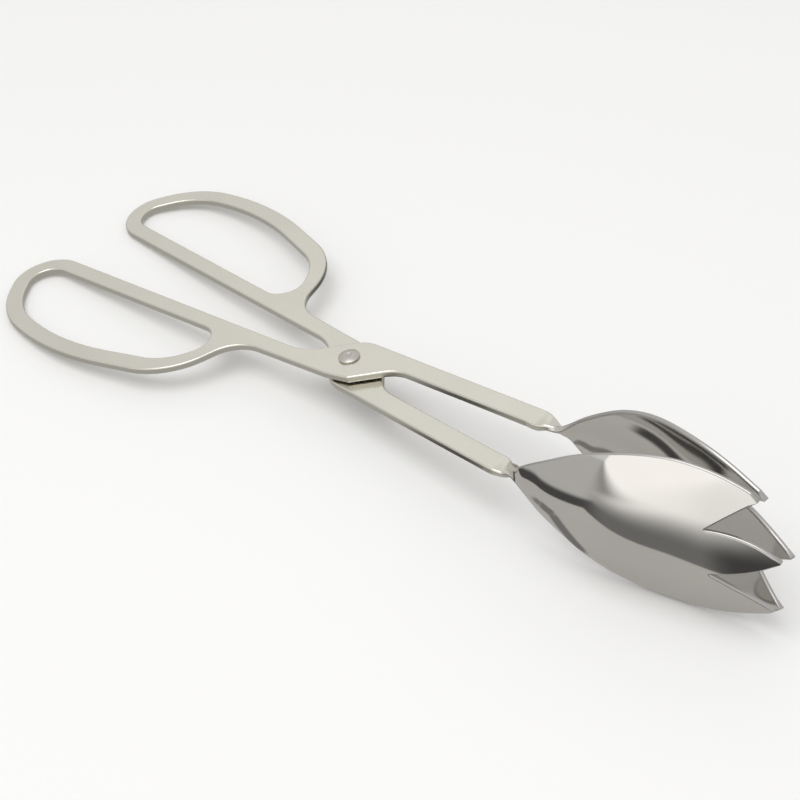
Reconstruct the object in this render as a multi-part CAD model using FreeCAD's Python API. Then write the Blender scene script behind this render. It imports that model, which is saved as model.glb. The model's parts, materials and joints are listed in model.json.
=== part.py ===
"""Scissor-action serving tongs: two one-piece stamped arms on a riveted pivot.

Each arm is a flat strip of steel with a finger loop at one end.  It crosses the
other arm at the rivet, and its far end narrows, twists a quarter turn and opens
into a curved head with three tines.  The two heads face each other.

The arms are drawn flat: origin on the rivet axis, midway between the arms,
+X towards the heads, +Z up along the rivet.  The assembly is then laid down the
way it rests on a table, with the origin under the middle of its box.
"""
import FreeCAD, Part
import math
import os

V = FreeCAD.Vector

# ---- sheet and pivot ------------------------------------------------------
SHEET = 2.0                 # thickness of the strip
EDGE_ROUND = 0.4            # tumbled edge of the strip
WALL = 1.2                  # thickness of the pressed head
WASHER_THICKNESS = 0.4
PIVOT_PLAY = 0.1            # total end play at the pivot
ARM_GAP = WASHER_THICKNESS + PIVOT_PLAY
ARM_LEVEL = (SHEET + ARM_GAP) / 2    # height of each arm's middle plane, up or down

RIVET_RADIUS = 1.5
RUNNING_CLEARANCE = 0.05    # radial, in the arm that turns
RIVET_HEAD_RADIUS = 2.85
RIVET_HEAD_RIM = 0.35       # straight rim under the dome
RIVET_HEAD_HEIGHT = 1.05
RIVET_DIMPLE_RADIUS = 0.65
RIVET_DIMPLE_DEPTH = 0.2
WASHER_RADIUS = 4.0

# ---- flat outline of one arm: (x, y, corner radius) ------------------------
LOOP_STRIP = 4.95           # width of the strip round the finger hole
LOOP_CORNERS = [
    (-126.3, -11.5, 10.9),
    (-106.6, -38.3, 26.0),
    (-78.3, -42.9, 77.0),
    (-40.3, -31.7, 21.5),
    (-27.9, -5.0, 11.0),
]
NOTCH_SIDE = [              # outer edge, from the loop past the notch to the heel
    (-39.0, -31.9, 22.0),
    (-32.8, -10.7, 10.5),
    (-1.5, -8.1, 25.0),
    (5.7, -6.3, 0.8),
]
CROSSING_SLOPE = 45.0       # degrees, edges that cross the pivot
STRAP_SPLAY = 3.0           # degrees, strap leaning away from the centre line
STRAP_END = (57.0, 7.9)     # middle of the strap where the neck starts
STRAP_WIDTH = 5.8
INNER_BEND_RADIUS = 9.0     # heel side, where the strap leaves the pivot
OUTER_BEND_RADIUS = 9.0
CROTCH = (-12.9, -4.2)
CROTCH_RADIUS = 14.0

# ---- sections of the neck and head ----------------------------------------
# Each section: distance along the strap's line from the neck's start, sideways
# offset away from the other arm, height of its middle, half width, depth of
# its bow, thickness, and turn in degrees.  None: the height of the arm itself.
SECTIONS = [
    (0.0, 0.0, None, 2.9, 0.0, SHEET, 0.0),
    (3.2, -0.1, None, 2.8, 0.0, SHEET, 0.0),
    (5.6, -0.2, None, 2.1, 0.0, 1.8, 12.0),
    (8.0, 0.2, 0.0, 1.7, 0.1, 1.6, 48.0),
    (9.9, 0.6, 0.1, 2.3, 0.2, 1.4, 75.0),
    (11.9, 0.9, -0.1, 3.9, 0.5, WALL, 88.0),
    (14.4, 1.0, -0.2, 5.9, 0.9, WALL, 90.0),
    (20.6, 1.0, 0.1, 9.8, 2.1, WALL, 90.0),
    (28.3, 0.1, 0.2, 14.4, 3.6, WALL, 90.0),
    (40.5, -2.5, 0.5, 19.2, 5.2, WALL, 90.0),
    (52.0, -5.9, 0.7, 21.4, 5.4, WALL, 90.0),
    (64.3, -8.9, 1.1, 20.6, 4.4, WALL, 90.0),
    (72.8, -10.5, 1.5, 17.8, 2.6, WALL, 90.0),
    (81.5, -11.5, 1.8, 13.8, 0.9, WALL, 90.0),
]
UPPER_HEAD_DROOP = 1.4      # how far the upper arm's tines lie below the lower arm's
DROOP_START = 8.0           # distances along the strap's line where it starts
DROOP_END = 74.0            # and where it is that much
FACE_ROUND = 0.35           # rounding of the head's rim

# ---- tines, seen from the side: distance along the strap's line, and height ---
UPPER_NOTCH = (63.9, 7.9)
LOWER_NOTCH = (63.9, -5.0)
TOP_TIP = (74.9, 17.2)
TOP_SHOULDER = (73.3, 19.8)
MIDDLE_TIP = (79.7, 2.9)
MIDDLE_TIP_ROUND = 0.5      # half height of the blunt end
BOTTOM_TIP = (76.3, -13.8)
BOTTOM_SHOULDER = (74.8, -16.6)
TINE_BULGE = 1.3            # how far the middle tine's edges bow outwards
OUTER_TINE_BULGE = 0.15
WELL_CLEAR = 60.0           # beyond any part of a head
SAME_PLACE = 0.01           # closer than this, two points are one

# ---- resting on a table --------------------------------------------------
HEAD_FOOT = (112.0, -21.42)  # lowest stretch of the heads' rims: x and height
LOOP_FOOT_X = -115.6        # rear end of the finger loops
LOOP_FOOT_SPREAD = 42.2     # distance between the two loops' rear ends


def unit(vector):
    return vector * (1.0 / vector.Length)


def filleted_wire(corners):
    """Closed flat wire through corners (x, y, radius); radius 0 stays sharp."""
    count = len(corners)
    bends = []
    for i in range(count):
        here = V(*corners[i][:2])
        back = unit(V(*corners[i - 1][:2]) - here)
        ahead = unit(V(*corners[(i + 1) % count][:2]) - here)
        radius = corners[i][2]
        if radius == 0:
            bends.append([here])
            continue
        half = back.getAngle(ahead) / 2
        reach = radius / math.tan(half)
        middle = here + unit(back + ahead) * (radius / math.sin(half) - radius)
        bends.append([here + back * reach, middle, here + ahead * reach])
    edges = []
    for i in range(count):
        if len(bends[i]) == 3:
            edges.append(Part.Arc(*bends[i]).toShape())
        edges.append(Part.LineSegment(bends[i][-1], bends[(i + 1) % count][0]).toShape())
    return Part.Wire(edges)


def inset(corners, distance):
    """Corners of the same rounded outline, moved inwards by a distance."""
    count = len(corners)
    lines = []
    for i in range(count):
        start = V(*corners[i][:2])
        along = unit(V(*corners[(i + 1) % count][:2]) - start)
        lines.append((start + V(-along.y, along.x) * distance, along))
    moved = []
    for i in range(count):
        (p, d), (q, e) = lines[i - 1], lines[i]
        gap = q - p
        step = (gap.x * e.y - gap.y * e.x) / (d.x * e.y - d.y * e.x)
        point = p + d * step
        moved.append((point.x, point.y, corners[i][2] - distance))
    return moved


def meet(point, degrees, other, other_degrees):
    """Where two flat lines, each a point and a heading, cross."""
    d = V(math.cos(math.radians(degrees)), math.sin(math.radians(degrees)))
    e = V(math.cos(math.radians(other_degrees)), math.sin(math.radians(other_degrees)))
    gap = V(*other) - V(*point)
    step = (gap.x * e.y - gap.y * e.x) / (d.x * e.y - d.y * e.x)
    return point[0] + d.x * step, point[1] + d.y * step


def arm_outline():
    """Outer edge of the flat arm, anticlockwise, finger loop on the -Y side."""
    splay = math.radians(STRAP_SPLAY)
    across = (-math.sin(splay) * STRAP_WIDTH / 2, math.cos(splay) * STRAP_WIDTH / 2)
    outer_end = (STRAP_END[0] + across[0], STRAP_END[1] + across[1])
    inner_end = (STRAP_END[0] - across[0], STRAP_END[1] - across[1])
    heel = NOTCH_SIDE[-1][:2]
    inner_bend = meet(heel, CROSSING_SLOPE, inner_end, STRAP_SPLAY)
    outer_bend = meet(CROTCH, CROSSING_SLOPE, outer_end, STRAP_SPLAY)
    corners = LOOP_CORNERS[:3] + NOTCH_SIDE
    corners.append((*inner_bend, INNER_BEND_RADIUS))
    corners.append((*inner_end, 0.0))
    corners.append((*outer_end, 0.0))
    corners.append((*outer_bend, OUTER_BEND_RADIUS))
    corners.append((*CROTCH, CROTCH_RADIUS))
    return corners


def flat_arm(bore_radius):
    """The flat strip with its finger hole and rivet hole, middle plane at z = 0."""
    up = V(0, 0, SHEET)
    blank = Part.Face(filleted_wire(arm_outline())).extrude(up)
    hole = Part.Face(filleted_wire(inset(LOOP_CORNERS, LOOP_STRIP))).extrude(up)
    plate = blank.cut(hole)
    plate.translate(V(0, 0, -SHEET / 2))
    end = V(*STRAP_END)
    long_edges = []
    for edge in plate.Edges:
        middle = edge.CenterOfMass
        lies_flat = abs(abs(middle.z) - SHEET / 2) < 1e-6
        at_strap_end = V(middle.x, middle.y).distanceToPoint(end) < 0.1
        if lies_flat and not at_strap_end:
            long_edges.append(edge)
    plate = plate.makeFillet(EDGE_ROUND, long_edges)
    bore = Part.makeCylinder(bore_radius, 2 * SHEET, V(0, 0, -SHEET))
    return plate.cut(bore)


def drooped(along, height, droop):
    """Height of a point of the head once its far end is lowered by droop."""
    return height - droop * max(0.0, along - DROOP_START) / (DROOP_END - DROOP_START)


def head_section(section, level, droop):
    """Closed wire of one section: two faces, two edges, four rounded corners."""
    along, aside, height, half, depth, thickness, turn = section
    height = level if height is None else drooped(along, height, droop)
    turn = math.radians(turn)
    wide = V(0, -math.cos(turn), math.sin(turn))
    out = V(0, math.sin(turn), math.cos(turn))
    centre = V(along, aside, height)
    corner = EDGE_ROUND if thickness == SHEET else FACE_ROUND
    slope = math.atan2(2 * depth, half)
    half_thick = thickness / 2

    def edge_points(side):
        tangent = wide * (side * math.cos(slope)) - out * math.sin(slope)
        normal = out * math.cos(slope) + wide * (side * math.sin(slope))
        rim = centre + wide * (side * half)
        cut = corner * (1 - math.sqrt(0.5))
        flat = half_thick - corner
        return [
            rim - tangent * corner + normal * half_thick,
            rim - tangent * cut + normal * (half_thick - cut),
            rim + normal * flat,
            rim - normal * flat,
            rim - tangent * cut - normal * (half_thick - cut),
            rim - tangent * corner - normal * half_thick,
        ]

    low = edge_points(-1)
    high = edge_points(1)
    crown = centre + out * (depth + half_thick)
    hollow = centre + out * (depth - half_thick)

    def face_edge(start, middle, end):
        if depth == 0:
            return Part.LineSegment(start, end).toShape()
        return Part.Arc(start, middle, end).toShape()

    return Part.Wire([
        face_edge(low[0], crown, high[0]),
        Part.Arc(high[0], high[1], high[2]).toShape(),
        Part.LineSegment(high[2], high[3]).toShape(),
        Part.Arc(high[3], high[4], high[5]).toShape(),
        face_edge(high[5], hollow, low[5]),
        Part.Arc(low[5], low[4], low[3]).toShape(),
        Part.LineSegment(low[3], low[2]).toShape(),
        Part.Arc(low[2], low[1], low[0]).toShape(),
    ])


def bowed(start, end, bulge):
    """Arc from start to end (x, z), bowed to the left by bulge."""
    a = V(start[0], 0, start[1])
    b = V(end[0], 0, end[1])
    along = unit(b - a)
    left = V(-along.z, 0, along.x)
    return Part.Arc(a, (a + b) * 0.5 + left * bulge, b).toShape()


def tine_outline(droop):
    """Side outline of the head, with the three tines and the two notches."""
    def low(point):
        return (point[0], drooped(point[0], point[1], droop))

    tip_top = low((MIDDLE_TIP[0], MIDDLE_TIP[1] + MIDDLE_TIP_ROUND))
    tip_low = low((MIDDLE_TIP[0], MIDDLE_TIP[1] - MIDDLE_TIP_ROUND))
    upper_notch, lower_notch = low(UPPER_NOTCH), low(LOWER_NOTCH)
    top_tip, bottom_tip = low(TOP_TIP), low(BOTTOM_TIP)
    top_shoulder, bottom_shoulder = low(TOP_SHOULDER), low(BOTTOM_SHOULDER)
    straight = [
        (bottom_tip, bottom_shoulder),
        (bottom_shoulder, (bottom_shoulder[0], -WELL_CLEAR)),
        ((bottom_shoulder[0], -WELL_CLEAR), (-WELL_CLEAR, -WELL_CLEAR)),
        ((-WELL_CLEAR, -WELL_CLEAR), (-WELL_CLEAR, WELL_CLEAR)),
        ((-WELL_CLEAR, WELL_CLEAR), (top_shoulder[0], WELL_CLEAR)),
        ((top_shoulder[0], WELL_CLEAR), top_shoulder),
        (top_shoulder, top_tip),
    ]
    edges = [
        Part.LineSegment(V(a[0], 0, a[1]), V(b[0], 0, b[1])).toShape()
        for a, b in straight
    ]
    edges += [
        bowed(top_tip, upper_notch, -OUTER_TINE_BULGE),
        bowed(upper_notch, tip_top, TINE_BULGE),
        bowed(tip_top, tip_low, MIDDLE_TIP_ROUND * 0.8),
        bowed(tip_low, lower_notch, TINE_BULGE),
        bowed(lower_notch, bottom_tip, -OUTER_TINE_BULGE),
    ]
    return Part.Wire(edges)


def head(level, droop):
    """Neck and head of the arm whose middle plane lies at the given level."""
    sections = [head_section(section, level, droop) for section in SECTIONS]
    body = Part.makeLoft(sections, True, False)
    side = Part.Face(tine_outline(droop)).extrude(V(0, 2 * WELL_CLEAR, 0))
    side.translate(V(0, -WELL_CLEAR, 0))
    body = body.common(side)
    body.rotate(V(0, 0, 0), V(0, 0, 1), STRAP_SPLAY)
    body.translate(V(STRAP_END[0], STRAP_END[1], 0))
    return body


def joined(plate, neck_and_head):
    """One solid of the flat arm and its head, whose end faces are the same."""
    end = V(*STRAP_END)
    faces = []
    for face in plate.Faces + neck_and_head.Faces:
        middle = face.CenterOfMass
        if V(middle.x, middle.y).distanceToPoint(end) > SAME_PLACE:
            faces.append(face)
    shell = Part.makeShell(faces)
    shell.sewShape()
    return Part.makeSolid(shell.Shells[0])


def upper_arm():
    """Finger loop on the -Y side and head on the +Y side, on top at the rivet."""
    plate = flat_arm(RIVET_RADIUS + RUNNING_CLEARANCE)
    plate.translate(V(0, 0, ARM_LEVEL))
    return joined(plate, head(ARM_LEVEL, UPPER_HEAD_DROOP))


def lower_arm():
    """The upper arm's opposite hand, one strip thickness and a washer lower."""
    plate = flat_arm(RIVET_RADIUS)
    plate.translate(V(0, 0, -ARM_LEVEL))
    return joined(plate, head(-ARM_LEVEL, 0.0)).mirror(V(0, 0, 0), V(0, 1, 0))


def pivot_rivet():
    """Rivet with a domed and dimpled head above, and a plain domed one below."""
    arm_face = ARM_LEVEL + SHEET / 2
    upper = arm_face + PIVOT_PLAY / 2
    lower = -arm_face

    def dome(radius, base, crown):
        """Arc from the rim to the axis, and its middle, in the XZ plane."""
        rise = crown - base
        sphere = (radius ** 2 + rise ** 2) / (2 * rise)
        middle_x = radius / 2
        middle_z = crown - sphere + math.copysign(
            math.sqrt(sphere ** 2 - middle_x ** 2), sphere)
        return Part.Arc(V(radius, 0, base), V(middle_x, 0, middle_z), V(0, 0, crown))

    def line(a, b):
        return Part.LineSegment(V(a[0], 0, a[1]), V(b[0], 0, b[1])).toShape()

    profile = Part.Wire([
        line((0, lower - RIVET_HEAD_HEIGHT), (0, upper + RIVET_HEAD_HEIGHT)),
        dome(RIVET_HEAD_RADIUS, upper + RIVET_HEAD_RIM, upper + RIVET_HEAD_HEIGHT).toShape(),
        line((RIVET_HEAD_RADIUS, upper + RIVET_HEAD_RIM), (RIVET_HEAD_RADIUS, upper)),
        line((RIVET_HEAD_RADIUS, upper), (RIVET_RADIUS, upper)),
        line((RIVET_RADIUS, upper), (RIVET_RADIUS, lower)),
        line((RIVET_RADIUS, lower), (RIVET_HEAD_RADIUS, lower)),
        line((RIVET_HEAD_RADIUS, lower), (RIVET_HEAD_RADIUS, lower - RIVET_HEAD_RIM)),
        dome(RIVET_HEAD_RADIUS, lower - RIVET_HEAD_RIM, lower - RIVET_HEAD_HEIGHT).toShape(),
    ])
    rivet = Part.Face(profile).revolve(V(0, 0, 0), V(0, 0, 1), 360)
    ball = (RIVET_DIMPLE_RADIUS ** 2 + RIVET_DIMPLE_DEPTH ** 2) / (2 * RIVET_DIMPLE_DEPTH)
    crown = upper + RIVET_HEAD_HEIGHT
    dimple = Part.makeSphere(ball, V(0, 0, crown - RIVET_DIMPLE_DEPTH + ball))
    return rivet.cut(dimple).Solids[0]


def spacer_washer():
    """Thin washer that keeps the two arms apart."""
    bottom = V(0, 0, -ARM_GAP / 2)
    disc = Part.makeCylinder(WASHER_RADIUS, WASHER_THICKNESS, bottom)
    return disc.cut(Part.makeCylinder(RIVET_RADIUS, WASHER_THICKNESS, bottom))


def lay_down(shapes):
    """Turn the tongs to rest on their loops and heads; origin under the middle."""
    loop_foot = -(ARM_LEVEL + SHEET / 2)
    pitch = math.degrees(math.atan2(
        loop_foot + ARM_LEVEL - HEAD_FOOT[1], HEAD_FOOT[0] - LOOP_FOOT_X))
    roll = math.degrees(math.atan2(2 * ARM_LEVEL, LOOP_FOOT_SPREAD))
    for shape in shapes:
        shape.rotate(V(0, 0, 0), V(1, 0, 0), roll)
        shape.rotate(V(0, 0, 0), V(0, 1, 0), -pitch)
    box = Part.makeCompound(shapes).optimalBoundingBox()
    shift = V(-box.Center.x, -box.Center.y, -box.ZMin)
    for shape in shapes:
        shape.translate(shift)
    axis = FreeCAD.Rotation(V(0, 1, 0), -pitch).multVec(
        FreeCAD.Rotation(V(1, 0, 0), roll).multVec(V(0, 0, 1)))
    print("pitch %.4f roll %.4f" % (pitch, roll))
    print("hinge at mm", [round(c, 4) for c in shift])
    print("hinge axis", [round(c, 6) for c in axis])
    print("size mm", round(box.XLength, 2), round(box.YLength, 2), round(box.ZLength, 2))


def main():
    nodes = {
        "upper_arm": upper_arm(),
        "lower_arm": lower_arm(),
        "pivot_rivet": pivot_rivet(),
        "spacer_washer": spacer_washer(),
    }
    lay_down(list(nodes.values()))
    os.makedirs("parts", exist_ok=True)
    for name, shape in nodes.items():
        print(name, "valid", shape.isValid(), "volume mm3", round(shape.Volume, 1))
        shape.exportStep("parts/%s.step" % name)


main()
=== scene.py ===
"""Looks for the scissor-action serving tongs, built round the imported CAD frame.

The arms are drawn flat in millimetres, as the design is: origin on the rivet axis
midway between the arms, +X to the heads, +Z up along the rivet.  The hinge in the
record says where that flat drawing lies in the object's own frame.
"""

import itertools
import json
import math

import bpy
import numpy as np
from mathutils import Matrix, Vector, geometry


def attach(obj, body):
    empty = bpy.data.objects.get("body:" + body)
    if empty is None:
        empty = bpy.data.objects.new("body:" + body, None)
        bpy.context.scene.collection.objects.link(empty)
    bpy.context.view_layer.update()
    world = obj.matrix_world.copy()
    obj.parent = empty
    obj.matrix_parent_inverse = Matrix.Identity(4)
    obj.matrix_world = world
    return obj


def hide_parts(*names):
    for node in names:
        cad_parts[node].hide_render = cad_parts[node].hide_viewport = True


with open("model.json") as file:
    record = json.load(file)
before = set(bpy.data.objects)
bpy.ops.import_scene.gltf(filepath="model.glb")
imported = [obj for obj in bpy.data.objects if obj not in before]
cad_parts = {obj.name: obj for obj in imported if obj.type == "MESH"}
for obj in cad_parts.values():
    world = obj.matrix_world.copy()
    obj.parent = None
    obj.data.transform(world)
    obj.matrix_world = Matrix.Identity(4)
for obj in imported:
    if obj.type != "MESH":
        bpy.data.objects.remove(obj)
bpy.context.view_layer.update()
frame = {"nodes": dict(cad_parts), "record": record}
MM = 0.001
TINY = 1e-6

# ---- strip, pivot and edges, millimetres ------------------------------------
SHEET = 2.0
ARM_GAP = 0.5
ARM_LEVEL = (SHEET + ARM_GAP) / 2
STRIP_ROUND = 0.5
RIVET_RADIUS = 1.5
BORE_RADIUS = 1.55

# ---- flat outline of an arm: x, y, corner radius ------------------------------
LOOP_STRIP = 4.95
LOOP_CORNERS = [
    (-126.3, -11.5, 10.9),
    (-106.6, -38.3, 26.0),
    (-78.3, -42.9, 77.0),
    (-40.3, -31.7, 21.5),
    (-27.9, -5.0, 11.0),
]
NOTCH_SIDE = [
    (-39.0, -31.9, 22.0),
    (-32.8, -10.7, 10.5),
    (-1.5, -8.1, 25.0),
    (5.7, -6.3, 0.8),
]
CROSSING_SLOPE = 45.0
STRAP_SPLAY = 3.0
STRAP_END = (57.0, 7.9)
STRAP_WIDTH = 5.8
BEND_RADIUS = 9.0
CROTCH = (-12.9, -4.2)
CROTCH_RADIUS = 14.0

# ---- neck and head: distance along the strap, sideways offset, height, half
# width, depth of bow, thickness, edge rounding, turn in degrees ----------------
SECTIONS = [
    (0.0, 0.0, None, 2.9, 0.0, SHEET, STRIP_ROUND, 0.0),
    (3.2, -0.1, None, 2.8, 0.0, SHEET, STRIP_ROUND, 0.0),
    (5.6, -0.2, None, 2.1, 0.0, 1.8, 0.6, 12.0),
    (8.0, 0.2, 0.0, 1.7, 0.1, 1.6, 0.6, 48.0),
    (9.9, 0.6, 0.1, 2.3, 0.2, 1.4, 0.55, 75.0),
    (11.9, 0.9, -0.1, 3.9, 0.5, 1.2, 0.52, 88.0),
    (14.4, 1.0, -0.2, 5.9, 0.9, 1.2, 0.52, 90.0),
    (20.6, 1.0, 0.1, 9.8, 2.1, 1.2, 0.52, 90.0),
    (28.3, 0.1, 0.2, 14.4, 3.6, 1.2, 0.52, 90.0),
    (40.5, -2.5, 0.5, 19.2, 5.2, 1.2, 0.52, 90.0),
    (52.0, -5.9, 0.7, 21.4, 5.4, 1.2, 0.52, 90.0),
    (64.3, -8.9, 1.1, 20.6, 4.4, 1.2, 0.52, 90.0),
    (72.8, -10.5, 1.5, 17.8, 2.6, 1.2, 0.52, 90.0),
    (81.5, -11.5, 1.8, 13.8, 0.9, 1.2, 0.52, 90.0),
]
UPPER_HEAD_DROOP = 1.4      # how far the upper arm's tines lie below the lower arm's
DROOP_START = 8.0           # distances along the strap's line where it starts
DROOP_END = 74.0            # and where it is that much

# ---- tines from the side: distance along the strap, height ----------------------
UPPER_NOTCH = (63.9, 7.9)
LOWER_NOTCH = (63.9, -5.0)
TOP_TIP = (74.9, 17.2)
TOP_SHOULDER = (73.3, 19.8)
MIDDLE_TIP = (79.7, 2.9)
MIDDLE_TIP_ROUND = 0.5
BOTTOM_TIP = (76.3, -13.8)
BOTTOM_SHOULDER = (74.8, -16.6)
MIDDLE_TINE_BOW = 1.3
MIDDLE_TIP_BOW = 0.4
OUTER_TINE_BOW = 0.15

# ---- edges and finish ---------------------------------------------------------
CORNER_SOFTNESS = 0.15      # how far tine corners are rounded, mm
SHARP_RADIUS = 0.6          # a tighter convex bend of the rim is a corner, mm
CORNER_ROUND = 0.09         # rounding of the rim at a corner itself, mm
CORNER_GROWTH = 0.2         # and how fast it grows with distance from the corner
POLISH_START = 5.0          # distance along the strap where the mirror finish starts
POLISH_RUN = 6.0            # and how much further it is complete
STRIP_CUT = 0.6             # how dark the strip's tumbled sides are, of a head's rim

# ---- mesh fineness -----------------------------------------------------------
ARC_STEP = 3.0              # degrees between points on an outline's arcs
BORE_STEP = 7.5             # degrees between points round the rivet hole
RIVET_STEP = 5.0            # degrees between points round the rivet
RIVET_RINGS = 26            # rings of points on the rivet's upper head
LOWER_RIVET_RINGS = 22
EDGE_STEPS = 6              # facets in each rounded edge
FACE_STEPS = 14             # facets across the strap
HEAD_GRID = 0.8             # spacing of points on a head, mm
LEAD_IN = (-6.4, -3.2)      # sections repeated here, so that the neck starts straight
SLOPE_STEP = 0.02           # over which a head's slopes are measured, mm
RIM_DRAFT = 0.15            # spacing of a rim's first draft, mm
RIM_FINE = 0.1              # spacing at which it is smoothed, mm
RIM_SPACING = 0.3           # spacing of the points that are kept, mm
RIM_CLEAR = 0.8             # of that spacing, kept free of a head's inner points
SMOOTHING_REACH = 4         # times CORNER_SOFTNESS
TRIANGLES_INSIDE = 1        # what the triangulation returns
SAME_PLACE = 0.004          # closer than this, two points are one, mm


def unit(v):
    v = np.asarray(v, float)
    return v / np.linalg.norm(v)


def heading(degrees):
    return np.array([math.cos(math.radians(degrees)), math.sin(math.radians(degrees))])


def meet(p, d, q, e):
    """Where the line from p along d crosses the line from q along e."""
    gap = np.asarray(q, float) - np.asarray(p, float)
    step = (gap[0] * e[1] - gap[1] * e[0]) / (d[0] * e[1] - d[1] * e[0])
    return np.asarray(p, float) + d * step


def inset(corners, distance):
    """The same rounded outline, anticlockwise, moved inwards by a distance."""
    count = len(corners)
    lines = []
    for i in range(count):
        a = np.array(corners[i][:2])
        along = unit(np.array(corners[(i + 1) % count][:2]) - a)
        lines.append((a + np.array([-along[1], along[0]]) * distance, along))
    moved = []
    for i in range(count):
        point = meet(*lines[i - 1], *lines[i])
        moved.append((point[0], point[1], corners[i][2] - distance))
    return moved


def filleted(corners, closed=True):
    """Points and outward normals along an anticlockwise outline with round corners."""
    points = []
    normals = []
    count = len(corners)
    chosen = range(count) if closed else range(1, count - 1)

    def add(point, along):
        if points and np.linalg.norm(points[-1] - point) < TINY:
            return
        points.append(point)
        normals.append(np.array([along[1], -along[0]]))

    if not closed:
        first = np.array(corners[0][:2])
        add(first, unit(np.array(corners[1][:2]) - first))
    for i in chosen:
        before = np.array(corners[i - 1][:2])
        here = np.array(corners[i][:2])
        after = np.array(corners[(i + 1) % count][:2])
        radius = corners[i][2]
        come = unit(here - before)
        go = unit(after - here)
        turn = math.atan2(come[0] * go[1] - come[1] * go[0], come @ go)
        reach = radius * math.tan(abs(turn) / 2)
        start = here - come * reach
        side = math.copysign(1.0, turn)
        centre = start + np.array([-come[1], come[0]]) * radius * side
        steps = max(2, int(math.ceil(math.degrees(abs(turn)) / ARC_STEP)))
        for k in range(steps + 1):
            angle = turn * k / steps
            c, s = math.cos(angle), math.sin(angle)
            along = np.array([come[0] * c - come[1] * s, come[0] * s + come[1] * c])
            normal = np.array([along[1], -along[0]])
            add(centre + normal * radius * side, along)
    if not closed:
        last = np.array(corners[-1][:2])
        add(last, unit(last - np.array(corners[-2][:2])))
    elif np.linalg.norm(points[0] - points[-1]) < TINY:
        points.pop()
        normals.pop()
    return np.array(points), np.array(normals)


def arm_outline():
    """Open outline from the strap's outer end, round the loop, to its inner end."""
    along = heading(STRAP_SPLAY)
    across = np.array([-along[1], along[0]]) * STRAP_WIDTH / 2
    outer_end = np.array(STRAP_END) + across
    inner_end = np.array(STRAP_END) - across
    crossing = heading(CROSSING_SLOPE)
    inner_bend = meet(NOTCH_SIDE[-1][:2], crossing, inner_end, along)
    outer_bend = meet(CROTCH, crossing, outer_end, along)
    corners = [(*outer_end, 0.0), (*outer_bend, BEND_RADIUS), (*CROTCH, CROTCH_RADIUS)]
    corners += LOOP_CORNERS[:3] + NOTCH_SIDE
    corners += [(*inner_bend, BEND_RADIUS), (*inner_end, 0.0)]
    return corners


def edge_profile(thickness, radius):
    """Rounded edge, top to bottom: (outward, height, normal out, normal up)."""
    half = thickness / 2
    profile = []
    for k in range(EDGE_STEPS + 1):
        angle = math.pi / 2 * k / EDGE_STEPS
        s, c = math.sin(angle), math.cos(angle)
        profile.append((radius * s, half - radius * (1 - c), s, c))
    below = [(out, -up, n_out, -n_up) for out, up, n_out, n_up in reversed(profile)]
    return profile + below


class MeshBuilder:
    """Collects points with their normals, joining those in the same place."""

    def __init__(self):
        self.points = []
        self.normals = []
        self.polish = []
        self.cut = []
        self.faces = []
        self.cells = {}

    def add(self, point, normal, polish, cut=0.0):
        point = np.asarray(point, float)
        cell = tuple(int(c) for c in np.floor(point / SAME_PLACE))
        for nearby in itertools.product(*((c, c - 1, c + 1) for c in cell)):
            known = self.cells.get(nearby)
            if known is not None and math.dist(self.points[known], point) < SAME_PLACE:
                return known
        self.cells[cell] = len(self.points)
        self.points.append(point)
        self.normals.append(unit(normal))
        self.polish.append(polish)
        self.cut.append(cut)
        return self.cells[cell]

    def face(self, *corners):
        """Adds a face, leaving out corners that were joined to another of its own."""
        kept = tuple(dict.fromkeys(corners))
        if len(kept) > 2:
            self.faces.append(kept)

    def strip(self, first, second):
        """Quads between two rows of points."""
        for i in range(len(first) - 1):
            self.face(first[i], first[i + 1], second[i + 1], second[i])


def spline(xs, ys):
    """Natural cubic spline, smooth enough for a mirror finish."""
    xs = np.asarray(xs, float)
    ys = np.asarray(ys, float)
    count = len(xs)
    h = np.diff(xs)
    a = np.eye(count)
    rhs = np.zeros(count)
    for i in range(1, count - 1):
        a[i, i - 1] = h[i - 1]
        a[i, i] = 2 * (h[i - 1] + h[i])
        a[i, i + 1] = h[i]
        rhs[i] = 6 * ((ys[i + 1] - ys[i]) / h[i] - (ys[i] - ys[i - 1]) / h[i - 1])
    m = np.linalg.solve(a, rhs)

    def value(x):
        x = np.asarray(x, float)
        i = np.clip(np.searchsorted(xs, x) - 1, 0, count - 2)
        lo = xs[i + 1] - x
        hi = x - xs[i]
        w = h[i]
        return ((m[i] * lo ** 3 + m[i + 1] * hi ** 3) / (6 * w)
                + (ys[i] / w - m[i] * w / 6) * lo
                + (ys[i + 1] / w - m[i + 1] * w / 6) * hi)

    return value


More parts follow.
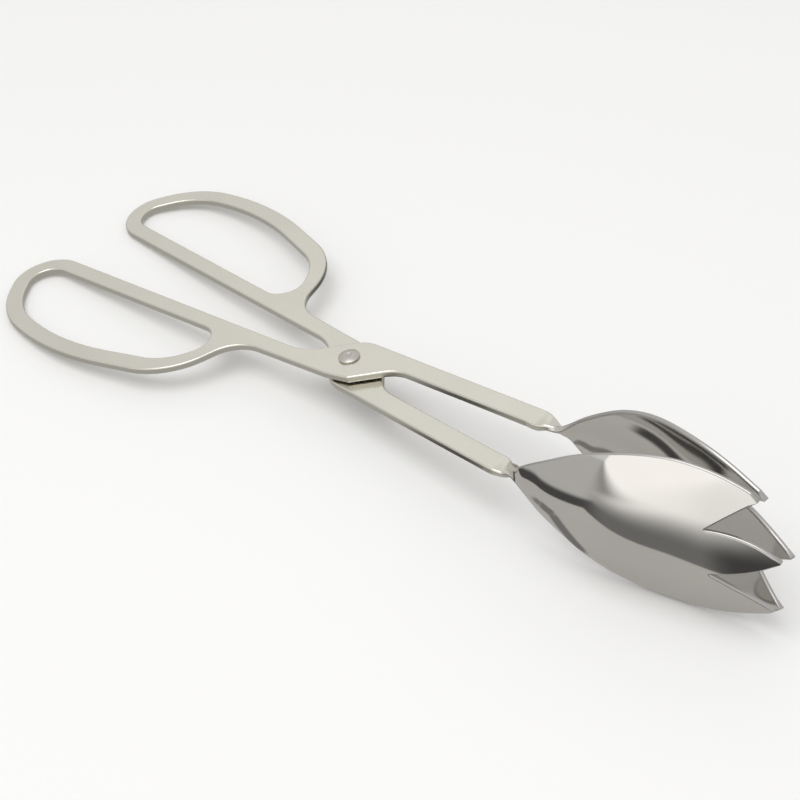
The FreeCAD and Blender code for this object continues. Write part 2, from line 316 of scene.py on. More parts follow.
class Head:
    """Middle surface of the neck and head, in the strap's own frame."""

    def __init__(self, level, droop):
        self.droop = droop
        rows = [tuple(level if v is None else v for v in row) for row in SECTIONS]
        rows = [(x, *rows[0][1:]) for x in LEAD_IN] + rows
        columns = list(zip(*rows))
        names = ["aside", "height", "half", "depth", "thick", "round", "turn"]
        for name, column in zip(names, columns[1:]):
            setattr(self, name, spline(columns[0], column))

    def point(self, x, a):
        """Middle surface at distance x along the strap and a up from its middle."""
        turn = np.radians(np.clip(self.turn(x), 0, 90))
        depth = np.maximum(self.depth(x), 0)
        half = self.half(x)
        curve = 2 * depth / (half ** 2 + depth ** 2)
        bow = depth - curve * a ** 2 / (1 + np.sqrt(np.maximum(1 - (curve * a) ** 2, 0)))
        lower = self.droop * np.maximum(x - DROOP_START, 0) / (DROOP_END - DROOP_START)
        return np.stack([
            x + 0 * a,
            self.aside(x) - np.cos(turn) * a + np.sin(turn) * bow,
            self.height(x) - lower + np.sin(turn) * a + np.cos(turn) * bow,
        ], -1)

    def slopes(self, x, a):
        """Surface directions along x and along a, and the outward normal."""
        x_low = np.maximum(x - SLOPE_STEP, 0)
        along = self.point(x + SLOPE_STEP, a) - self.point(x_low, a)
        up = self.point(x, a + SLOPE_STEP) - self.point(x, a - SLOPE_STEP)
        along /= np.linalg.norm(along, axis=-1, keepdims=True)
        along[x < TINY] = (1, 0, 0)      # flush with the strap
        up /= np.linalg.norm(up, axis=-1, keepdims=True)
        out = np.cross(up, along)
        out /= np.linalg.norm(out, axis=-1, keepdims=True)
        return along, up, out


def bowed(start, end, bow):
    """Points of a shallow arc from start to end, bowed to the left."""
    start = np.array(start, float)
    end = np.array(end, float)
    chord = end - start
    length = np.linalg.norm(chord)
    left = np.array([-chord[1], chord[0]]) / length
    t = np.linspace(0, 1, max(3, int(length / RIM_DRAFT)))[:, None]
    return start + chord * t + left * bow * 4 * t * (1 - t)


def draft_outline(head):
    """Sharp-cornered edge of the head, from the strap's outer edge to its inner."""
    def rim(x_from, x_to, side):
        x = np.linspace(x_from, x_to, int(abs(x_to - x_from) / RIM_DRAFT))
        return np.stack([x, side * head.half(x)], 1)

    def lower(point):
        return np.array([point[0], point[1] - float(head.height(point[0]))])

    tip_low = (MIDDLE_TIP[0], MIDDLE_TIP[1] - MIDDLE_TIP_ROUND)
    tip_top = (MIDDLE_TIP[0], MIDDLE_TIP[1] + MIDDLE_TIP_ROUND)
    low_corner = np.array([BOTTOM_SHOULDER[0], -float(head.half(BOTTOM_SHOULDER[0]))])
    top_corner = np.array([TOP_SHOULDER[0], float(head.half(TOP_SHOULDER[0]))])
    return np.vstack([
        rim(0, BOTTOM_SHOULDER[0], -1),
        bowed(low_corner, lower(BOTTOM_TIP), 0.0),
        bowed(lower(BOTTOM_TIP), lower(LOWER_NOTCH), OUTER_TINE_BOW),
        bowed(lower(LOWER_NOTCH), lower(tip_low), -MIDDLE_TINE_BOW),
        bowed(lower(tip_low), lower(tip_top), -MIDDLE_TIP_BOW),
        bowed(lower(tip_top), lower(UPPER_NOTCH), -MIDDLE_TINE_BOW),
        bowed(lower(UPPER_NOTCH), lower(TOP_TIP), OUTER_TINE_BOW),
        bowed(lower(TOP_TIP), top_corner, 0.0),
        rim(TOP_SHOULDER[0], 0, 1),
    ])


def evenly_spaced(line, spacing):
    step = np.linalg.norm(np.diff(line, axis=0), axis=1)
    line = line[np.concatenate([[True], step > TINY])]
    step = np.linalg.norm(np.diff(line, axis=0), axis=1)
    distance = np.concatenate([[0], np.cumsum(step)])
    even = np.linspace(0, distance[-1], int(distance[-1] / spacing))
    return np.stack([np.interp(even, distance, line[:, k]) for k in (0, 1)], 1)


def smoothed(line):
    """The line with its corners rounded a little, its two ends left in place."""
    reach = int(SMOOTHING_REACH * CORNER_SOFTNESS / RIM_FINE)
    weights = np.exp(-0.5 * (np.arange(-reach, reach + 1) * RIM_FINE / CORNER_SOFTNESS) ** 2)
    weights /= weights.sum()
    front = 2 * line[0] - line[reach:0:-1]
    back = 2 * line[-1] - line[-2:-reach - 2:-1]
    padded = np.vstack([front, line, back])
    smooth = np.stack([np.convolve(padded[:, k], weights, "valid") for k in (0, 1)], 1)
    smooth[[0, -1]] = line[[0, -1]]
    return smooth


def head_outline(head):
    """The head's edge as points (x, a) with their outward normals."""
    smooth = smoothed(evenly_spaced(draft_outline(head), RIM_FINE))
    tangent = np.gradient(smooth, axis=0)
    tangent[0] = (1, 0)
    tangent[-1] = (-1, 0)
    tangent /= np.linalg.norm(tangent, axis=1)[:, None]
    normal = np.stack([tangent[:, 1], -tangent[:, 0]], 1)
    last = len(smooth) - 1
    keep = np.unique(np.append(np.arange(0, last + 1, int(RIM_SPACING / RIM_FINE)), last))
    return smooth[keep], normal[keep]


def inside(polygon, points):
    """Which points lie inside a polygon."""
    result = np.zeros(len(points), bool)
    for (x0, y0), (x1, y1) in zip(polygon, np.roll(polygon, -1, axis=0)):
        if y0 == y1:
            continue
        crosses = (y0 > points[:, 1]) != (y1 > points[:, 1])
        at = x0 + (points[:, 1] - y0) * (x1 - x0) / (y1 - y0)
        result ^= crosses & (points[:, 0] < at)
    return result


def near_line(line, points, distance):
    """Which points lie within a distance of a line's own points."""
    nearest = np.full(len(points), np.inf)
    for corner in line:
        nearest = np.minimum(nearest, np.linalg.norm(points - corner, axis=1))
    return nearest < distance


def room_at_corners(rim, rim_out):
    """Largest inset at each point of the rim that a sharp corner leaves room for."""
    step = rim[1:] - rim[:-1]
    bend = np.sum((rim_out[1:] - rim_out[:-1]) * step, axis=1) / np.sum(step ** 2, axis=1)
    corners = (rim[1:] + rim[:-1])[bend > 1 / SHARP_RADIUS] / 2
    away = np.linalg.norm(rim[:, None] - corners[None], axis=2).min(axis=1)
    return CORNER_ROUND + CORNER_GROWTH * away


def triangulated(head, edge):
    """Points (x, a) and triangles that fill the head inside its rounded edge."""
    low, high = edge[0, 1], edge[-1, 1]
    end_a = np.linspace(high, low, FACE_STEPS + 1)[1:-1]
    end_line = np.stack([np.zeros_like(end_a), end_a], 1)
    boundary = np.vstack([edge, end_line])
    grid = []
    for x in np.arange(HEAD_GRID, MIDDLE_TIP[0], HEAD_GRID):
        half = float(head.half(x))
        count = max(FACE_STEPS, int(round(2 * half / HEAD_GRID)))
        grid += [(x, a) for a in np.linspace(-half, half, count + 1)]
    grid = np.array(grid)
    grid = grid[inside(boundary, grid)]
    grid = grid[~near_line(boundary, grid, RIM_SPACING * RIM_CLEAR)]
    flat = [Vector(p) for p in np.vstack([boundary, grid])]
    count = len(boundary)
    rim_edges = [(i, (i + 1) % count) for i in range(count)]
    made = geometry.delaunay_2d_cdt(flat, rim_edges, [], TRIANGLES_INSIDE, TINY * 10)
    return np.array([tuple(p) for p in made[0]]), made[2]


def build_head(mesh, level, droop):
    """Neck and head: outer and inner skins and a rounded edge all round."""
    head = Head(level, droop)
    along_x, along_y = heading(STRAP_SPLAY)
    turn = np.array([[along_x, -along_y, 0], [along_y, along_x, 0], [0, 0, 1]])
    origin = np.array([*STRAP_END, 0])

    def polish_at(x):
        return float(np.clip((x - POLISH_START) / POLISH_RUN, 0, 1))

    def add(point, normal, x, cut):
        return mesh.add(origin + turn @ point, turn @ normal, polish_at(x), cut)

    rim, rim_out = head_outline(head)
    rim_out[[0, -1]] = np.round(rim_out[[0, -1]])
    rounding = np.minimum(head.round(rim[:, 0]), room_at_corners(rim, rim_out))
    edge = rim - rim_out * rounding[:, None]
    points, faces = triangulated(head, edge)

    middle = head.point(points[:, 0], points[:, 1])
    _, _, out = head.slopes(points[:, 0], points[:, 1])
    half_thick = head.thick(points[:, 0])[:, None] / 2
    outer, inner = ([add(p, n * side, x, 0.0)
                     for p, n, x in zip(middle + out * half_thick * side, out, points[:, 0])]
                    for side in (1, -1))
    for face in faces:
        a, b, c = points[list(face)]
        anticlockwise = (b[0] - a[0]) * (c[1] - a[1]) - (b[1] - a[1]) * (c[0] - a[0]) > 0
        order = face[::-1] if anticlockwise else face
        mesh.face(*[outer[i] for i in order])
        mesh.face(*[inner[i] for i in reversed(order)])

    base = head.point(edge[:, 0], edge[:, 1])
    along, up, out = head.slopes(edge[:, 0], edge[:, 1])
    outward = along * rim_out[:, :1] + up * rim_out[:, 1:]
    outward -= out * np.sum(outward * out, axis=1)[:, None]
    outward /= np.linalg.norm(outward, axis=1)[:, None]
    rows = []
    for i, x in enumerate(edge[:, 0]):
        profile = edge_profile(float(head.thick(x)), float(rounding[i]))
        rows.append([add(base[i] + outward[i] * o + out[i] * h,
                         outward[i] * n_o + out[i] * n_h, x, polish_at(x))
                     for o, h, n_o, n_h in profile])
    for first, second in zip(rows, rows[1:]):
        mesh.strip(second, first)


def build_plate(mesh, level, bore_radius):
    """Flat strip with rounded edges, finger hole and rivet hole."""
    profile = edge_profile(SHEET, STRIP_ROUND)
    outline, outline_out = filleted(arm_outline(), closed=False)
    hole, hole_out = filleted(inset(LOOP_CORNERS, LOOP_STRIP))
    turn = np.radians(np.arange(0, 360, BORE_STEP))
    bore_out = np.stack([np.cos(turn), np.sin(turn)], 1)
    bore = bore_out * bore_radius

    def wall(points, outward, closed):
        rows = []
        for point, n in zip(points, outward):
            row = []
            for out, up, n_out, n_up in profile:
                flat = point + n * (out - STRIP_ROUND)
                row.append(mesh.add((flat[0], flat[1], level + up),
                                    (n[0] * n_out, n[1] * n_out, n_up), 0.0,
                                    STRIP_CUT * n_out ** 2))
            rows.append(row)
        following = rows[1:] + rows[:1] if closed else rows[1:]
        for first, second in zip(rows, following):
            mesh.strip(first, second)
        return rows

    rings = [
        wall(outline, outline_out, closed=False),
        wall(hole[::-1], -hole_out[::-1], closed=True),
        wall(bore[::-1], -bore_out[::-1], closed=True),
    ]
    inner, outer = outline[-1], outline[0]
    across = unit(outer - inner)
    reach = np.linalg.norm(outer - inner) - 2 * STRIP_ROUND
    ends = [inner + across * (STRIP_ROUND + reach * k / FACE_STEPS)
            for k in range(1, FACE_STEPS)]
    for side, column in ((1, 0), (-1, len(profile) - 1)):
        z = level + side * SHEET / 2
        loops = [[row[column] for row in ring] for ring in rings]
        loops[0] += [mesh.add((*p, z), (0, 0, side), 0.0) for p in ends]
        flat = [[Vector(mesh.points[i]) for i in loop] for loop in loops]
        order = [i for loop in loops for i in loop]
        for triangle in geometry.tessellate_polygon(flat):
            a, b, c = (order[i] for i in triangle)
            pa, pb, pc = (mesh.points[i] for i in (a, b, c))
            faces_up = (pb[0] - pa[0]) * (pc[1] - pa[1]) > (pb[1] - pa[1]) * (pc[0] - pa[0])
            mesh.face(a, b, c) if faces_up == (side > 0) else mesh.face(a, c, b)


def rest_frame():
    """Matrix from the flat drawing, in millimetres, to the object's frame."""
    hinge = frame["record"]["behaviour"]["joints"][0]
    up = Vector(hinge["axis"]).normalized()
    forward = Vector((0, 1, 0)).cross(up).normalized()
    side = up.cross(forward)
    turn = Matrix((forward, side, up)).transposed().to_4x4()
    return Matrix.Translation(hinge["pos_m"]) @ turn @ Matrix.Scale(MM, 4)


REST = rest_frame()


def make_piece(name, mesh, mirrored=False):
    """Blender object from a builder's mesh, mirrored left to right if asked."""
    flip = np.array([1, -1 if mirrored else 1, 1])
    place = np.array(REST)
    turn = place[:3, :3] / MM
    points = np.array(mesh.points) * flip @ place[:3, :3].T + place[:3, 3]
    normals = np.array(mesh.normals) * flip @ turn.T
    faces = [f[::-1] if mirrored else f for f in mesh.faces]
    data = bpy.data.meshes.new(name)
    data.from_pydata(points.tolist(), [], faces)
    data.validate()
    data.polygons.foreach_set("use_smooth", [True] * len(data.polygons))
    data.normals_split_custom_set_from_vertices(normals.tolist())
    for layer, values in (("polish", mesh.polish), ("cut", mesh.cut)):
        data.attributes.new(layer, "FLOAT", "POINT").data.foreach_set("value", values)
    data.update()
    piece = bpy.data.objects.new(name, data)
    bpy.context.scene.collection.objects.link(piece)
    return piece


def make_arm(name, level, droop, bore_radius, mirrored):
    mesh = MeshBuilder()
    build_plate(mesh, level, bore_radius)
    build_head(mesh, level, droop)
    return make_piece(name, mesh, mirrored)


# ---- rivet ------------------------------------------------------------------
RIVET_HEAD_RADIUS = 2.85
RIVET_HEAD_HEIGHT = 1.05
RIVET_RIM = 0.42            # height of the head's edge, under its dome
RIVET_CROWN = 2.4           # how square the dome's shoulders are: 2 is round
LOWER_CROWN = 2.2
RIVET_WAIST = 0.6           # of the rim's height, where the head is widest
RIVET_BULGE = 0.02          # and how much wider it is there
RIVET_UNDERCUT = 0.1        # how far in the edge starts, just above the arm
RIVET_SEAT = 0.25           # how far in the head touches the arm
UNDERCUT_HEIGHT = 0.02
LOWER_EDGE_HEIGHT = 0.12
RIVET_PLAY = 0.05
DIMPLE_RADIUS = 0.8
DIMPLE_DEPTH = 0.28
RIVET_POLISH = 0.4


def rivet_dome(share, crown):
    """Height of a rivet head at a share of its radius."""
    return RIVET_RIM + (RIVET_HEAD_HEIGHT - RIVET_RIM) * (1 - share ** crown)


def rivet_profile():
    """Half outline of the rivet, radius and height, from the top down."""
    face = ARM_LEVEL + SHEET / 2
    top = face + RIVET_PLAY
    seat = RIVET_HEAD_RADIUS - RIVET_SEAT
    points = []
    for share in np.linspace(0, 1, RIVET_RINGS):
        r = share * RIVET_HEAD_RADIUS
        dimple = DIMPLE_DEPTH * math.exp(-(r / DIMPLE_RADIUS) ** 4)
        points.append((r, top + rivet_dome(share, RIVET_CROWN) - dimple))
    points += [
        (RIVET_HEAD_RADIUS + RIVET_BULGE, top + RIVET_RIM * RIVET_WAIST),
        (RIVET_HEAD_RADIUS - RIVET_UNDERCUT, top + UNDERCUT_HEIGHT),
        (seat, top),
        (RIVET_RADIUS, top),
        (RIVET_RADIUS, -face),
        (seat, -face),
        (RIVET_HEAD_RADIUS, -face - LOWER_EDGE_HEIGHT),
    ]
    for share in np.linspace(1, 0, LOWER_RIVET_RINGS):
        points.append((share * RIVET_HEAD_RADIUS, -face - rivet_dome(share, LOWER_CROWN)))
    return points


def make_rivet():
    mesh = MeshBuilder()
    profile = np.array(rivet_profile())
    slope = np.gradient(profile, axis=0)
    rows = []
    for turn in np.radians(np.arange(0, 360, RIVET_STEP)):
        c, s = math.cos(turn), math.sin(turn)
        row = []
        for (r, z), (dr, dz) in zip(profile, slope):
            normal = (-dz * c, -dz * s, dr) if r > 0 else (0, 0, dr)
            row.append(mesh.add((r * c, r * s, z), normal, RIVET_POLISH))
        rows.append(row)
    for first, second in zip(rows, rows[1:] + rows[:1]):
        mesh.strip(first, second)
    return make_piece("pivot_rivet_fine", mesh)


# ---- materials ------------------------------------------------------------------
CUT_TINT = 0.68             # of the sheared rim's steel, next to the faces
CUT_ROUGHNESS = 0.3
STEEL_IOR = 2.5
TONE_RANGE = (0.3, 0.7)     # of the cloudy noise, from the darker tone to the full one
TONE_DIP = 0.96             # darker tone, of the full one
CLOUD = dict(Scale=60.0, Detail=3.0, Roughness=0.5)
SMEAR = dict(Scale=220.0, Detail=4.0, Roughness=0.6)
SPECKLE = dict(Scale=2600.0, Detail=2.0, Roughness=0.6)
SATIN_SPREAD = (0.9, 1.1)   # of the satin's roughness, over the smears
MIRROR_SPREAD = (0.8, 1.3)  # of the mirror's roughness, over the clouds
GRAIN_HEIGHT = 0.00002      # metres
MIX_SOCKETS = {             # of a Mix node: factor, first, second, result
    "FLOAT": (0, 2, 3, 0),
    "RGBA": (0, 6, 7, 2),
}


class Nodes:
    """Short ways to add nodes to a material and to link them."""

    def __init__(self, material, keep_default):
        material.use_nodes = True
        self.tree = material.node_tree
        if not keep_default:
            self.tree.nodes.clear()

    def feed(self, socket, value):
        """Link a socket to another node's output, or set it to a plain value."""
        if isinstance(value, bpy.types.NodeSocket):
            self.tree.links.new(value, socket)
        else:
            socket.default_value = value

    def add(self, kind, **inputs):
        made = self.tree.nodes.new(kind)
        for name, value in inputs.items():
            self.feed(made.inputs[name.replace("_", " ")], value)
        return made

    def math(self, operation, a, b):
        made = self.add("ShaderNodeMath")
        made.operation = operation
        self.feed(made.inputs[0], a)
        self.feed(made.inputs[1], b)
        return made.outputs[0]

    def ramp(self, value, low, high, start=0.0, end=1.0, shape="SMOOTHSTEP"):
        """Goes from start to end while value goes from low to high."""
        made = self.add("ShaderNodeMapRange", Value=value, From_Min=low, From_Max=high,
                        To_Min=start, To_Max=end)
        made.interpolation_type = shape
        return made.outputs["Result"]

    def mix(self, kind, share, first, second, blend="MIX"):
        made = self.add("ShaderNodeMix")
        made.data_type = kind
        made.blend_type = blend
        *sockets, result = MIX_SOCKETS[kind]
        for socket, value in zip(sockets, (share, first, second)):
            self.feed(made.inputs[socket], value)
        return made.outputs[result]

    def mix_shaders(self, share, first, second):
        made = self.add("ShaderNodeMixShader")
        for socket, value in zip(made.inputs, (share, first, second)):
            self.feed(socket, value)
        return made.outputs[0]

    def attribute(self, name):
        made = self.add("ShaderNodeAttribute")
        made.attribute_name = name
        return made.outputs["Fac"]

    def noise(self, place, grain):
        return self.add("ShaderNodeTexNoise", Vector=place, **grain).outputs["Fac"]

    def tone(self, noise, colour):
        """The colour, a little darker where the noise is low."""
        made = self.add("ShaderNodeValToRGB", Fac=noise)
        for stop, position, share in zip(made.color_ramp.elements, TONE_RANGE, (TONE_DIP, 1)):
            stop.position = position
            stop.color = (*[c * share for c in colour], 1)
        return made.outputs["Color"]

    def surface(self, shader):
        self.add("ShaderNodeOutputMaterial", Surface=shader)


def steel(name, satin_tint, mirror_tint, satin_roughness, mirror_roughness, grain):
    """Stainless steel, satin where polish is 0 and mirror bright where it is 1."""
    material = bpy.data.materials.new(name)
    nodes = Nodes(material, keep_default=True)
    place = nodes.add("ShaderNodeTexCoord").outputs["Object"]
    polish = nodes.attribute("polish")
    cut = nodes.attribute("cut")
    cloud = nodes.noise(place, CLOUD)
    smear = nodes.noise(place, SMEAR)
    speckle = nodes.noise(place, SPECKLE)

    tint = nodes.mix("RGBA", polish, nodes.tone(cloud, satin_tint),
                     nodes.tone(cloud, mirror_tint))
    tint = nodes.mix("RGBA", cut, tint, (CUT_TINT, CUT_TINT, CUT_TINT, 1), "MULTIPLY")

    satin = nodes.ramp(smear, 0, 1, *(satin_roughness * s for s in SATIN_SPREAD),
                       shape="LINEAR")
    mirror = nodes.ramp(cloud, 0, 1, *(mirror_roughness * s for s in MIRROR_SPREAD),
                        shape="LINEAR")
    rough = nodes.mix("FLOAT", polish, satin, mirror)
    rough = nodes.mix("FLOAT", cut, rough, CUT_ROUGHNESS)

    strength = nodes.math("MULTIPLY", nodes.math("SUBTRACT", 1.0, polish), grain)
    bump = nodes.add("ShaderNodeBump", Strength=strength, Distance=GRAIN_HEIGHT,
                     Height=speckle)

    shader = nodes.tree.nodes["Principled BSDF"]
    shader.inputs["Metallic"].default_value = 1.0
    shader.inputs["IOR"].default_value = STEEL_IOR
    nodes.feed(shader.inputs["Base Color"], tint)
    nodes.feed(shader.inputs["Roughness"], rough)
    nodes.feed(shader.inputs["Normal"], bump.outputs["Normal"])
    return material


def matt(name, colour):
    material = bpy.data.materials.new(name)
    nodes = Nodes(material, keep_default=False)
    nodes.surface(nodes.add("ShaderNodeBsdfDiffuse", Color=(*colour, 1)).outputs[0])
    return material


def glowing(name, colour, strength):
    material = bpy.data.materials.new(name)
    nodes = Nodes(material, keep_default=False)
    shine = nodes.add("ShaderNodeEmission", Color=(*colour, 1), Strength=strength)
    nodes.surface(shine.outputs[0])
    return material


# ---- camera -----------------------------------------------------------------------
VIEW_AZIMUTH = 53.3         # of the flat arms: 0 looks along +Y
VIEW_ELEVATION = 36.9
VIEW_ROLL = -13.6
VIEW_DISTANCE = 503.75      # from the rivet, along the view
LENS = 87.75
SENSOR = 36.0
RIVET_ACROSS = -0.06125     # rivet's place in the view, of its width, from the middle
RIVET_UP = 0.04475
CLIP_START = 0.01
CLIP_END = 20


def make_camera():
    a, e, r = (math.radians(d) for d in (VIEW_AZIMUTH, VIEW_ELEVATION, VIEW_ROLL))
    right = Vector((math.cos(a), math.sin(a), 0))
    back = Vector((math.sin(a) * math.cos(e), -math.cos(a) * math.cos(e), math.sin(e)))
    up = back.cross(right)
    turned_right = right * math.cos(r) + up * math.sin(r)
    turned_up = up * math.cos(r) - right * math.sin(r)
    width = SENSOR / LENS * VIEW_DISTANCE
    centre = back * VIEW_DISTANCE - turned_right * RIVET_ACROSS * width
    centre -= turned_up * RIVET_UP * width
    turn = Matrix((turned_right, turned_up, back)).transposed().to_4x4()
    flat = Matrix.Translation(centre) @ turn
    placed = REST @ flat
    data = bpy.data.cameras.new("camera")
    data.lens = LENS
    data.sensor_width = SENSOR
    data.clip_start = CLIP_START
    data.clip_end = CLIP_END
    camera = bpy.data.objects.new("camera", data)
    camera.matrix_world = Matrix.LocRotScale(
        placed.to_translation(), placed.to_quaternion(), None)
    bpy.context.scene.collection.objects.link(camera)
    bpy.context.scene.camera = camera


# ---- stage --------------------------------------------------------------------------
def make_panel(name, centre, right, up, material):
    """Flat rectangle; right and up are its half sides, right x up its face."""
    c, r, u = Vector(centre), Vector(right), Vector(up)
    data = bpy.data.meshes.new(name)
    data.from_pydata([c - r - u, c + r - u, c + r + u, c - r + u], [], [(0, 1, 2, 3)])
    data.materials.append(material)
    panel = bpy.data.objects.new(name, data)
    bpy.context.scene.collection.objects.link(panel)
    return panel


def make_light(name, place, target, size, power):
    data = bpy.data.lights.new(name, "AREA")
    data.shape = "RECTANGLE"
    data.size, data.size_y = size
    data.energy = power
    light = bpy.data.objects.new(name, data)
    light.location = place
    aim = Vector(target) - Vector(place)
    light.rotation_mode = "QUATERNION"
    light.rotation_quaternion = aim.to_track_quat("-Z", "Y")
    bpy.context.scene.collection.objects.link(light)
    return light


FLOOR_COLOUR = (0.93, 0.93, 0.925)
FLOOR_HALF = 3.0
FLOOR_LEVEL = -0.0001       # just under the tongs
SKY_COLOUR = (1.0, 0.995, 0.985, 1)
SKY_GLOW = 0.7
LIGHTS = [                  # name, place, target, size, power
    ("overhead", (0.1, -0.25, 0.9), (0.05, 0, 0), (0.9, 0.7), 3.6),
    ("beyond_strap", (-0.7, 0.62, 0.8), (0.04, 0, 0), (0.7, 0.5), 0.2),
]

# Painted reflections: what the polished steel mirrors is painted, glowing, on a sheet that
# only reflections see.
# Lines are given by two points, and distances from them are in millimetres.
MIRRORED_HALF = 2.0
MIRRORED_LEVEL = 0.00002
TABLE_GREY = (0.5, 0.485, 0.465)
TABLE_GLOW = 0.6            # share of the table's grey painted as glowing light, which the tongs' shadow doesn't reach
TABLE_EDGE = ((60, -42), (117, -16))        # table ends, dark gap starts
TABLE_SIDE = ((35, -19), (64, -45))         # table ends, dark streak starts
TABLE_BLUR = 0.4            # to each side of the table's edges
STREAK_FADE = (10, 19)      # beyond the table's side
GAP_FADE = (8, 50)          # beyond the table's edge
PANEL_EDGE = ((-150, -460), (90, -56))      # painted white highlight starts
PANEL_BLUR = 14             # to each side of the panel's edge
PANEL_ADVANCE = 22.0        # of the panel's edge, close to the table
ADVANCE_FADE = (20, 50)     # beyond the table's edge
STREAK_LIGHTENS = (-34, -18)                # before the panel's edge
SURROUND_DIMS = (-34, -10)
CORNER_DARKENS = (0.106, 0.117)             # metres along the tongs
HIGHLIGHT_DIMS = (0.05, 0.12)
GAP_GLOW = 0.17
STREAK_GLOW = 0.07
SURROUND_GLOW = 0.5
SURROUND_DIM = 0.3          # next to the white panel
PANEL_GLOW = 1.2
PANEL_DIM = 0.97            # in front of the tips
DARK_CORNER = 0.35          # of the gap's glow, in front of the tips
# colour of the painted white highlight
PAINTED_HIGHLIGHT_COLOUR = (1.0, 0.985, 0.955)
SHADOW_STROKES = [                 # painted shadows under the heads: start, end, half width, glow
    ((60.5, 6.6), (80, 5.2), 3.4, 0.12),
    ((48, -12.8), (54, -13.5), 3.2, 0.45),
    ((51, -13.5), (60, -17.5), 4.5, 0.4),
    ((57, -17), (74, -7), 4.2, 0.4),
]
STROKE_CORE = 0.4           # share of the half width that is fully dark
STROKE_OVERRUN = 1.0        # beyond its ends, where a stroke has faded out
STROKE_TAPER = 3.0          # before its ends, where it starts to
# a glowing panel that only reflections see: a painted white highlight on the heads
FRONT_PANEL = ((0.36, -1.3, 0.25), (-1.01, 0, 0), (0, 0, 0.25))


def only_in_reflections(panel):
    panel.visible_camera = False
    panel.visible_diffuse = False
    panel.visible_shadow = False
    panel.visible_transmission = False


def beyond(nodes, place, line):
    """Distance in mm beyond a line, on the right of its direction."""
    (x0, y0), (x1, y1) = line
    length = math.hypot(x1 - x0, y1 - y0)
    across = ((y1 - y0) / length, -(x1 - x0) / length)
    dot = nodes.add("ShaderNodeVectorMath")
    dot.operation = "DOT_PRODUCT"
    nodes.feed(dot.inputs[0], place)
    nodes.feed(dot.inputs[1], (across[0] / MM, across[1] / MM, 0))
    return nodes.math("SUBTRACT", dot.outputs["Value"], across[0] * x0 + across[1] * y0)


def glow_past_table(nodes, place, past_edge, past_table):
    """Painted reflection past the table: dark gap and white highlight in front, dark streak
    beside it.
    """
    past_panel = beyond(nodes, place, PANEL_EDGE)
    ahead = nodes.add("ShaderNodeSeparateXYZ", Vector=place).outputs["X"]
    gap = nodes.ramp(ahead, *CORNER_DARKENS, GAP_GLOW, GAP_GLOW * DARK_CORNER)
    highlight_glow = nodes.ramp(ahead, *HIGHLIGHT_DIMS, PANEL_GLOW, PANEL_DIM)
    front = nodes.mix("FLOAT", nodes.ramp(past_edge, *GAP_FADE), gap, highlight_glow)
    streak = nodes.ramp(past_panel, *STREAK_LIGHTENS, STREAK_GLOW, GAP_GLOW)
    surround = nodes.ramp(past_panel, *SURROUND_DIMS, SURROUND_GLOW, SURROUND_DIM)
    side = nodes.mix("FLOAT", nodes.ramp(past_table, *STREAK_FADE), streak, surround)
    advance = nodes.ramp(past_edge, *ADVANCE_FADE, PANEL_ADVANCE, 0.0)
    share = nodes.ramp(nodes.math("ADD", past_panel, advance), -PANEL_BLUR, PANEL_BLUR)
    return nodes.mix("FLOAT", share, side, front)


def stroke_shade(nodes, place, start, end, half_width, darkest):
    """Brightness on one painted shadow: darkest on it and 1 away from it."""
    (x0, y0), (x1, y1) = start, end
    half_length = math.hypot(x1 - x0, y1 - y0) / 2
    off_line = nodes.math("ABSOLUTE", beyond(nodes, place, (start, end)), 0.0)
    along = beyond(nodes, place, ((x0, y0), (x0 + y0 - y1, y0 + x1 - x0)))
    off_middle = nodes.math("ABSOLUTE", nodes.math("SUBTRACT", along, half_length), 0.0)
    stroke = nodes.math(
        "MULTIPLY",
        nodes.ramp(off_line, half_width, half_width * STROKE_CORE),
        nodes.ramp(off_middle, half_length + STROKE_OVERRUN, half_length - STROKE_TAPER))
    return nodes.ramp(stroke, 0, 1, 1.0, darkest)


def make_painted_reflections():
    """Painted reflections on a glowing sheet: grey table with painted shadows, dark gap,
    white highlight in front.
    """
    material = bpy.data.materials.new("painted_reflections")
    nodes = Nodes(material, keep_default=False)
    place = nodes.add("ShaderNodeTexCoord").outputs["Object"]
    past_edge = beyond(nodes, place, TABLE_EDGE)
    past_table = nodes.math("MAXIMUM", past_edge, beyond(nodes, place, TABLE_SIDE))

    # painted shadows under the heads darken the table's grey
    shade = 1.0
    for stroke in SHADOW_STROKES:
        shade = nodes.math("MINIMUM", shade, stroke_shade(nodes, place, *stroke))
    grey = (*TABLE_GREY, 1)
    # painted light: a shaded copy and a glowing lit copy of the table's grey, mixed
    shaded = nodes.add("ShaderNodeBsdfDiffuse", Color=grey).outputs[0]
    lit = nodes.add("ShaderNodeEmission", Color=grey, Strength=1.0).outputs[0]
    black = nodes.add("ShaderNodeEmission", Strength=0.0).outputs[0]
    table = nodes.mix_shaders(shade, black, nodes.mix_shaders(TABLE_GLOW, shaded, lit))

    glow = glow_past_table(nodes, place, past_edge, past_table)
    shine = nodes.add("ShaderNodeEmission", Color=(*PAINTED_HIGHLIGHT_COLOUR, 1), Strength=glow)
    share = nodes.ramp(past_table, -TABLE_BLUR, TABLE_BLUR)
    nodes.surface(nodes.mix_shaders(share, table, shine.outputs[0]))
    return material


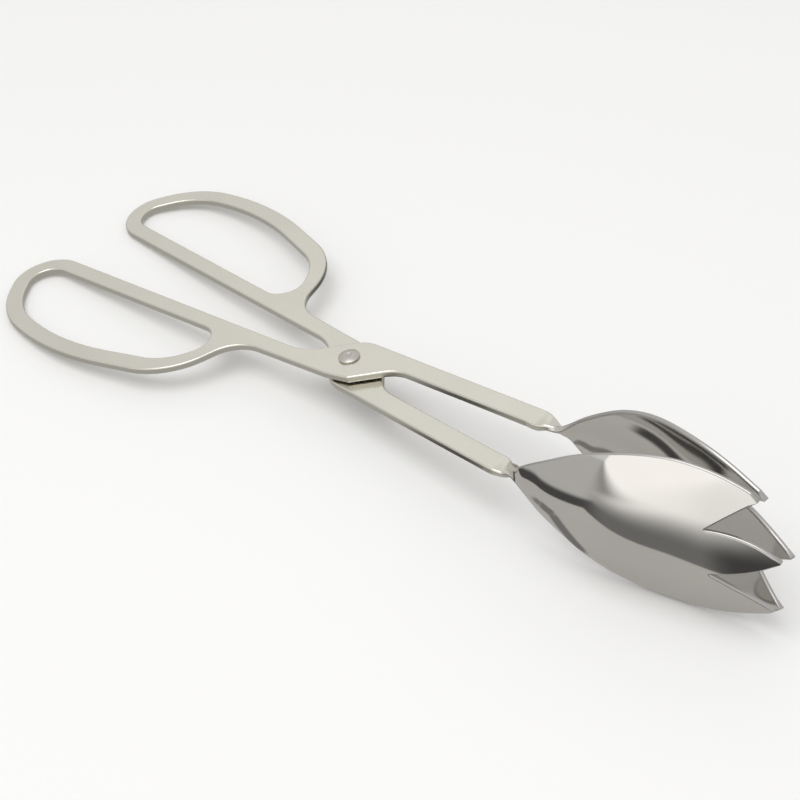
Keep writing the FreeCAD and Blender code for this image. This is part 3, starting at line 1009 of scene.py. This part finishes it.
def make_stage():
    make_panel("floor", (0, 0, FLOOR_LEVEL), (FLOOR_HALF, 0, 0), (0, FLOOR_HALF, 0),
               matt("floor_paint", FLOOR_COLOUR))
    # a glowing sheet that only reflections see, painted with the reflections on the steel
    table = make_panel("painted_reflection_sheet", (0, 0, MIRRORED_LEVEL), (MIRRORED_HALF, 0, 0),
                       (0, MIRRORED_HALF, 0), make_painted_reflections())
    only_in_reflections(table)
    # a glowing panel that only reflections see: a painted white highlight
    panel = make_panel("painted_highlight_panel", *FRONT_PANEL,
                       glowing("painted_highlight_glow", PAINTED_HIGHLIGHT_COLOUR, PANEL_GLOW))
    only_in_reflections(panel)
    world = bpy.data.worlds.new("studio")
    world.use_nodes = True
    sky = world.node_tree.nodes["Background"]
    sky.inputs["Color"].default_value = SKY_COLOUR
    sky.inputs["Strength"].default_value = SKY_GLOW
    bpy.context.scene.world = world
    for light in LIGHTS:
        make_light(*light)
    bpy.context.scene.view_settings.view_transform = "Standard"


# ---- the whole ------------------------------------------------------------------------
SATIN_TINT = (0.79, 0.768, 0.69)
MIRROR_TINT = (0.77, 0.755, 0.73)
DULL_TINT = (0.6, 0.575, 0.535)
ARM_FINISH = dict(satin_tint=SATIN_TINT, mirror_tint=MIRROR_TINT,
                  satin_roughness=0.27, mirror_roughness=0.07, grain=0.35)
RIVET_FINISH = dict(satin_tint=DULL_TINT, mirror_tint=DULL_TINT,
                    satin_roughness=0.38, mirror_roughness=0.3, grain=0.2)
WASHER_FINISH = dict(satin_tint=DULL_TINT, mirror_tint=DULL_TINT,
                     satin_roughness=0.5, mirror_roughness=0.4, grain=0.2)


def main():
    make_camera()
    make_stage()
    looks = {
        "upper_arm": steel("upper_arm_steel", **ARM_FINISH),
        "lower_arm": steel("lower_arm_steel", **ARM_FINISH),
        "pivot_rivet": steel("rivet_steel", **RIVET_FINISH),
        "spacer_washer": steel("washer_steel", **WASHER_FINISH),
    }
    made = [
        (make_arm("upper_arm_fine", ARM_LEVEL, UPPER_HEAD_DROOP, BORE_RADIUS, False),
         "upper_arm", "upper"),
        (make_arm("lower_arm_fine", -ARM_LEVEL, 0.0, RIVET_RADIUS, True),
         "lower_arm", "lower"),
        (make_rivet(), "pivot_rivet", "lower"),
    ]
    for piece, replaced, body in made:
        piece.data.materials.append(looks[replaced])
        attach(piece, body)
        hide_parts(replaced)
    washer = frame["nodes"]["spacer_washer"]
    washer.data.materials.clear()
    washer.data.materials.append(looks["spacer_washer"])


main()
